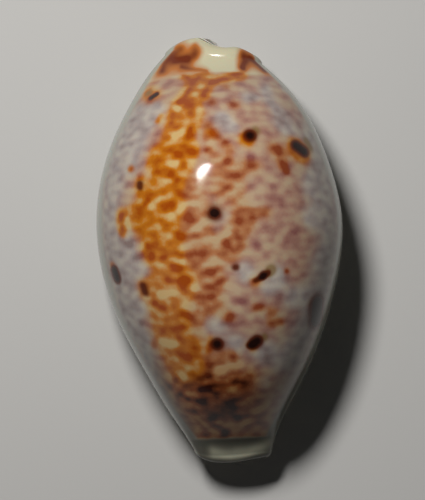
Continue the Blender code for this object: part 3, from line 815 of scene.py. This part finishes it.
store("load", sum(weight * painted(marks, bent_points) for marks, weight in LOADS))
amber_left = 1 - AMBER_FADE * smooth_step((AMBER_FULL - points_mm[:, 1]) / AMBER_SPAN)
store("amber", amber_left * field(AMBER_FIELD, AMBER_MARKS + RUST_MARKS))
store("brown", field(BROWN_FIELD, BROWN_MARKS))
store("cool", field(COOL_FIELD, HAZE_AND_GLINT_MARKS))
store("spot", painted(SPOT_MARKS, points_mm) + BRUISE_PART * painted(BRUISE_MARKS, bent_points))
store("olive", painted(OLIVE_MARKS, bent_points))

# %% [markdown]
# Some colour follows the form and not the marks. The little blots stop at both collars. The brown
# turns dark over the anterior end, all but the columella's side: partly the shell's own darker
# brown, partly painted shade, as that end slopes away from the light. The grey of the anterior
# collar is painted shade, and a thinner painted shade runs back from it along both margins, whose
# steep sides turn from the light.

# %% Collars, anterior end and margins
COLLAR_SOFT = 0.35
ANTERIOR_COLLAR = -15.85
FRONT_START = -8.5
FRONT_SPAN = 3.0
FRONT_SIDE = 4.6
GREY_EDGE = 1.0
GREY_SOFT = 0.3
MARGIN_SHADE = 0.8
MARGIN_START = -5.0
MARGIN_SPAN = 7.0
MARGIN_TOP = 1.6
x_of = points_mm[:, 0]
y_of = points_mm[:, 1]
crease_line = CREASE_PLACE - CREASE_BOW * x_of**2
posterior_collar = smooth_step((y_of - crease_line) / COLLAR_SOFT + 0.5)
anterior_collar = smooth_step((ANTERIOR_COLLAR - y_of) / COLLAR_SOFT + 0.5)
# Darker brown over the anterior end: partly the shell's own brown, partly painted shade.
front = smooth_step((FRONT_START - y_of) / FRONT_SPAN)
front *= smooth_step((FRONT_SIDE - x_of) / FRONT_SPAN)
# Painted shade along both margins, deepening towards the anterior end.
margin = MARGIN_SHADE * smooth_step((MARGIN_START - y_of) / MARGIN_SPAN)
margin *= smooth_step((MARGIN_TOP - side_place) / GREY_SOFT)
# The anterior collar and the margins together carry the painted shade, which stays off the base.
painted_shade = np.maximum(anterior_collar, margin) * smooth_step((side_place - GREY_EDGE) / GREY_SOFT)
store("front", front)
store("collar", posterior_collar + anterior_collar)
store("painted_shade", painted_shade)
store("pale", painted_shade * np.minimum(painted(PALE_MARKS, bent_points), 1))

# %% [markdown]
# Below the flanks a cream callus wraps up from the base. Its edge is clear, wavers a little and
# climbs towards the anterior end. The base itself is white, and the grooves between the teeth are
# stained orange.

# %% Callus, base and stained grooves
callus_curve = curve(
    -18, 1.62, -14, 1.4, -12, 1.33, -8, 1.29, -3, 1.27, 0, 1.26, 5, 1.25, 9, 1.27, 13, 1.3, 18, 1.3)
CALLUS_SOFT = 0.09
WAVER_SIZE = 3.0
WAVER = 0.024
BASE_TOP = 1.02
BASE_SOFT = 0.35
waver = WAVER * np.array([noise.noise(Vector(point) / WAVER_SIZE) for point in points_mm])
callus_edge = callus_curve(y_of) + waver
store("callus", smooth_step((callus_edge - side_place) / CALLUS_SOFT))
store("base", smooth_step((BASE_TOP - side_place) / BASE_SOFT))
store("stain", groove_of * (side_place < 1))

# %% [markdown]
# Colours are written as sRGB hex, the form a colour picker gives, and one function turns them to
# the linear values that light adds up in.

# %% Colours
def linear(code):
    """An sRGB hex colour as linear RGBA."""
    parts = [int(code[i:i + 2], 16) / 255 for i in (1, 3, 5)]
    return [c / 12.92 if c <= 0.04045 else ((c + 0.055) / 1.055) ** 2.4 for c in parts] + [1.0]


FAWN_TONES = linear("#B1987C"), linear("#A27C6A"), linear("#85554F")
AMBER_TONES = linear("#BFA06A"), linear("#B26B18"), linear("#94420B")
BROWN_TONES = linear("#B29672"), linear("#A56C46"), linear("#843F23")
COOL_TONES = linear("#B2A79A"), linear("#9D908A"), linear("#84716B")
# The front tones are partly the shell's own brown and partly painted shade over the anterior end.
FRONT_TONES = linear("#BC8C56"), linear("#8E4B26"), linear("#38120A")
COLLAR_TONES = linear("#BFB89A"), linear("#AE6A34"), linear("#6A301C")
OLIVE = linear("#7D6334")
SPOT_RIM = linear("#5E2108")
SPOT_CORE = linear("#170A09")
CALLUS_CREAM = linear("#A3A294")
# Painted shade over the anterior collar and the margins; along the anterior rim it is paler.
COLLAR_SHADE = linear("#55534A")
COLLAR_PALE = linear("#94927F")
BASE_WHITE = linear("#DCD6C6")
STAIN_ORANGE = linear("#B5501C")
print("the stain is", [round(part, 3) for part in STAIN_ORANGE[:3]], "in linear light")

# %% [markdown]
# One helper adds every node: it makes the node, sets its properties, and then for each input
# either links a socket to it or sets a plain value. It also lays the nodes out in rows of ten.

# %% The node helper
NODES_IN_ROW = 10
NODE_WIDE = 200
NODE_TALL = 260


def add(tree, kind, settings=None, inputs=None):
    """Adds one node with its settings, and links or fills its inputs."""
    node = tree.nodes.new(kind)
    down, right = divmod(len(tree.nodes), NODES_IN_ROW)
    node.location = (NODE_WIDE * right, -NODE_TALL * down)
    for name, value in (settings or {}).items():
        setattr(node, name, value)
    for name, value in (inputs or {}).items():
        socket = next(s for s in node.inputs if name in (s.identifier, s.name))
        if isinstance(value, bpy.types.NodeSocket):
            tree.links.new(value, socket)
        else:
            socket.default_value = value
    return node


# %% [markdown]
# The enamel is aragonite, laid down in fine layers and polished by the mantle that once covered
# it. It gives the eye three things: a clear highlight, colours that sit at different depths, and a
# slight glow under the surface where light spreads.
#
# The colour starts from one load of pigment: the painted load, plus crowded little blots of noise
# that fill the places between the painted marks, about 0.7 mm apart and drawn out across the shell,
# with a grain of a quarter of a millimetre. The collars stay free of them.

# %% The load of pigment
BLOT = 0.72
BLOT_STRETCH = 0.72
BLOT_DROP = 0.5
BLOT_GAIN = 1.45
GRAIN = 0.25
GRAIN_GAIN = 0.25
LOAD_LEVEL = 0.23
THIN_COAT = 0.5
THICK_COAT = 1.0


def load_of_pigment(tree, place):
    """The painted load plus crowded blots, as two amounts: up to a thin coat, then to a thick one."""
    stretched = add(tree, "ShaderNodeMapping", {"vector_type": "POINT"},
                    {"Vector": place, "Scale": (BLOT_STRETCH, 1.0, BLOT_DROP)}).outputs["Vector"]
    blots = add(tree, "ShaderNodeTexNoise", None,
                {"Vector": stretched, "Scale": 1 / (BLOT * MM), "Detail": 0.0}).outputs["Fac"]
    grain = add(tree, "ShaderNodeTexNoise", None,
                {"Vector": place, "Scale": 1 / (GRAIN * MM), "Detail": 1.0}).outputs["Fac"]
    crowd = LOAD_LEVEL - BLOT_GAIN / 2
    for pattern, gain in ((blots, BLOT_GAIN), (grain, GRAIN_GAIN)):
        crowd = add(tree, "ShaderNodeMath", {"operation": "MULTIPLY_ADD"},
                    {"Value": pattern, "Value_001": gain, "Value_002": crowd}).outputs["Value"]
    collar = add(tree, "ShaderNodeAttribute", {"attribute_name": "collar"}).outputs["Fac"]
    crowded = add(tree, "ShaderNodeMix", {"data_type": "FLOAT"},
                  {"Factor_Float": collar, "A_Float": crowd, "B_Float": 0.0}).outputs[0]
    painted_load = add(tree, "ShaderNodeAttribute", {"attribute_name": "load"}).outputs["Fac"]
    level = add(tree, "ShaderNodeMath", {"operation": "ADD"},
                {"Value": crowded, "Value_001": painted_load}).outputs["Value"]
    thin = add(tree, "ShaderNodeMapRange", None,
               {"Value": level, "From Min": 0.0, "From Max": THIN_COAT}).outputs["Result"]
    thick = add(tree, "ShaderNodeMapRange", None,
                {"Value": level, "From Min": THIN_COAT, "From Max": THICK_COAT}).outputs["Result"]
    return thin, thick


print("the blots lie", BLOT, "mm apart and the grain", GRAIN, "mm")

# %% [markdown]
# Each field of colour has three tones, for bare enamel, a thin coat and a thick coat, and the load
# picks between them. The fields are laid over the fawn ground one by one, the cool flanks first and
# the collars last. The zones that follow the form come next, and the dark spots lie over everything.
# Each row of SPOTS says at which strength a colour begins, where it is full, and how much it covers.
#
# The index of aragonite runs from 1.53 to 1.69, and the lowest is taken. A roughness of 0.13 keeps
# the edge of the highlight crisp without making a mirror. The shine is set well below that of real
# enamel, because the pale floor is mirrored in the steep sides and would veil the dark spots there.

# %% The enamel
FIELDS = (("fawn", FAWN_TONES), ("cool", COOL_TONES), ("brown", BROWN_TONES),
          ("front", FRONT_TONES), ("amber", AMBER_TONES), ("collar", COLLAR_TONES))
# Of the zones, the second is painted shade over the anterior collar and the margins.
ZONES = (("callus", CALLUS_CREAM), ("painted_shade", COLLAR_SHADE), ("pale", COLLAR_PALE),
         ("base", BASE_WHITE), ("stain", STAIN_ORANGE))
SPOTS = (("olive", OLIVE, 0.10, 0.95, 0.75),
         ("spot", SPOT_RIM, 0.10, 0.55, 0.92),
         ("spot", SPOT_CORE, 0.30, 0.95, 0.95))
ENAMEL = {"Roughness": 0.13, "IOR": 1.53, "Specular IOR Level": 0.16,
          "Subsurface Weight": 0.12, "Subsurface Scale": 0.5 * MM}


def enamel_material():
    """The layered, glossy enamel of the whole shell."""
    material = bpy.data.materials.new("aragonite_enamel")
    material.use_nodes = True
    tree = material.node_tree
    place = add(tree, "ShaderNodeTexCoord").outputs["Object"]
    thin, thick = load_of_pigment(tree, place)
    coats = []
    for name, (bare, middle, full) in FIELDS:
        coat = add(tree, "ShaderNodeMix", {"data_type": "RGBA"},
                   {"Factor_Float": thin, "A_Color": bare, "B_Color": middle}).outputs[2]
        coat = add(tree, "ShaderNodeMix", {"data_type": "RGBA"},
                   {"Factor_Float": thick, "A_Color": coat, "B_Color": full}).outputs[2]
        coats.append((name, coat))
    colour = coats[0][1]
    for name, coat in coats[1:] + list(ZONES):
        amount = add(tree, "ShaderNodeAttribute", {"attribute_name": name}).outputs["Fac"]
        colour = add(tree, "ShaderNodeMix", {"data_type": "RGBA"},
                     {"Factor_Float": amount, "A_Color": colour, "B_Color": coat}).outputs[2]
    for name, pigment, begin, full, cover in SPOTS:
        strength = add(tree, "ShaderNodeAttribute", {"attribute_name": name}).outputs["Fac"]
        amount = add(tree, "ShaderNodeMapRange", {"interpolation_type": "SMOOTHSTEP"},
                     {"Value": strength, "From Min": begin, "From Max": full,
                      "To Max": cover}).outputs["Result"]
        colour = add(tree, "ShaderNodeMix", {"data_type": "RGBA"},
                     {"Factor_Float": amount, "A_Color": colour, "B_Color": pigment}).outputs[2]
    surface = tree.nodes["Principled BSDF"]
    tree.links.new(colour, surface.inputs["Base Color"])
    for name, value in ENAMEL.items():
        surface.inputs[name].default_value = value
    return material


enamel = enamel_material()
print("the enamel has", len(enamel.node_tree.nodes), "nodes")

# %% [markdown]
# The skin takes the enamel on. Three lines then say what it is to the frame: it rides with the body
# called root, takes the solid's place and fills the slot for the enamel.

# %% Dress the skin
skin.materials.append(enamel)
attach(shell_skin, "root")
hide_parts("shell")
print(shell_skin.name, "wears", enamel.name)

# %% [markdown]
# The floor is a plain pale sheet of matt paper, much wider than the view. It catches the shadow and
# throws a little light back under the shell's edge.

# %% Floor
FLOOR_SIDE = 3000 * MM
FLOOR_GREY = linear("#BAB8B4")
PAPER_ROUGHNESS = 0.9
floor_mesh = bpy.data.meshes.new("floor")
half = FLOOR_SIDE / 2
corners = [(-half, -half, 0), (half, -half, 0), (half, half, 0), (-half, half, 0)]
floor_mesh.from_pydata(corners, [], [(0, 1, 2, 3)])
floor = bpy.data.objects.new("floor", floor_mesh)
bpy.context.collection.objects.link(floor)
paper = bpy.data.materials.new("matt_paper")
paper.use_nodes = True
paper_surface = paper.node_tree.nodes["Principled BSDF"]
paper_surface.inputs["Base Color"].default_value = FLOOR_GREY
paper_surface.inputs["Roughness"].default_value = PAPER_ROUGHNESS
floor_mesh.materials.append(paper)
print("the floor is", FLOOR_SIDE, "m wide")

# %% [markdown]
# One small soft light does most of the work, and it stands close. Its mirror image on the back is
# the bright oval near the posterior end, and the shadow it throws on the floor falls short on the
# +X side and long past the anterior end. Both follow from its place. The light is twice as long as
# wide and turned aslant, which gives the oval its lean. The rest of the light is a dim, even sky.

# %% Light
KEY_PLACE = Vector((-33.0, 75.0, 152.0)) * MM
KEY_AIM = Vector((0.0, 0.0, 12.0)) * MM
KEY_LONG = 50 * MM
KEY_SHORT = 26 * MM
KEY_ROLL = np.radians(118)
KEY_POWER = 0.29
SKY_GREY = linear("#BFC2C6")
SKY_STRENGTH = 0.05
key_light = bpy.data.lights.new("key_softbox", "AREA")
key_light.shape = "ELLIPSE"
key_light.size = KEY_SHORT
key_light.size_y = KEY_LONG
key_light.energy = KEY_POWER
key = bpy.data.objects.new("key_softbox", key_light)
key.location = KEY_PLACE
key_facing = (KEY_PLACE - KEY_AIM).to_track_quat("Z", "Y").to_matrix()
key.rotation_euler = (key_facing @ Matrix.Rotation(KEY_ROLL, 3, "Z")).to_euler()
key.visible_camera = False
bpy.context.collection.objects.link(key)
world = bpy.data.worlds.new("sky")
bpy.context.scene.world = world
world.use_nodes = True
background = world.node_tree.nodes["Background"]
background.inputs["Color"].default_value = SKY_GREY
background.inputs["Strength"].default_value = SKY_STRENGTH
print("the key light stands", round((KEY_PLACE - KEY_AIM).length / MM), "mm from the back")

# %% [markdown]
# The camera looks straight down from 1 m through a long lens, so the shell's outline is almost
# without perspective. Its lens and place follow from the picture: the picture is 425 by 500 pixels,
# the shell is 426 pixels long in it and leans 2.4 degrees.

# %% Camera
PICTURE_WIDTH = 425
PICTURE_HEIGHT = 500
SHELL_LONG = 426
SHELL_MIDDLE = (220.5, 250.0)
SHELL_LEAN = np.radians(2.4)
CAMERA_HEIGHT = 1000 * MM
WIDEST_LEVEL = 0.24
CLIP_START = 10 * MM
pixel = LENGTH * MM / SHELL_LONG
camera_data = bpy.data.cameras.new("camera")
camera = bpy.data.objects.new("camera", camera_data)
bpy.context.collection.objects.link(camera)
bpy.context.scene.camera = camera
distance_to_outline = CAMERA_HEIGHT - HEIGHT * MM * WIDEST_LEVEL
camera_data.lens = camera_data.sensor_width * distance_to_outline / (pixel * PICTURE_HEIGHT)
camera_data.clip_start = CLIP_START
offset_x = (PICTURE_WIDTH / 2 - SHELL_MIDDLE[0]) * pixel
offset_y = (SHELL_MIDDLE[1] - PICTURE_HEIGHT / 2) * pixel
lean = Matrix.Rotation(-SHELL_LEAN, 4, "Z")
camera.matrix_world = lean @ Matrix.Translation((offset_x, offset_y, CAMERA_HEIGHT))
print("the lens is", round(camera_data.lens), "mm")

# %% [markdown]
# Blender's default view transform bends colours for film. The plain one shows them as mixed.

# %% Finish
bpy.context.scene.view_settings.view_transform = "Standard"
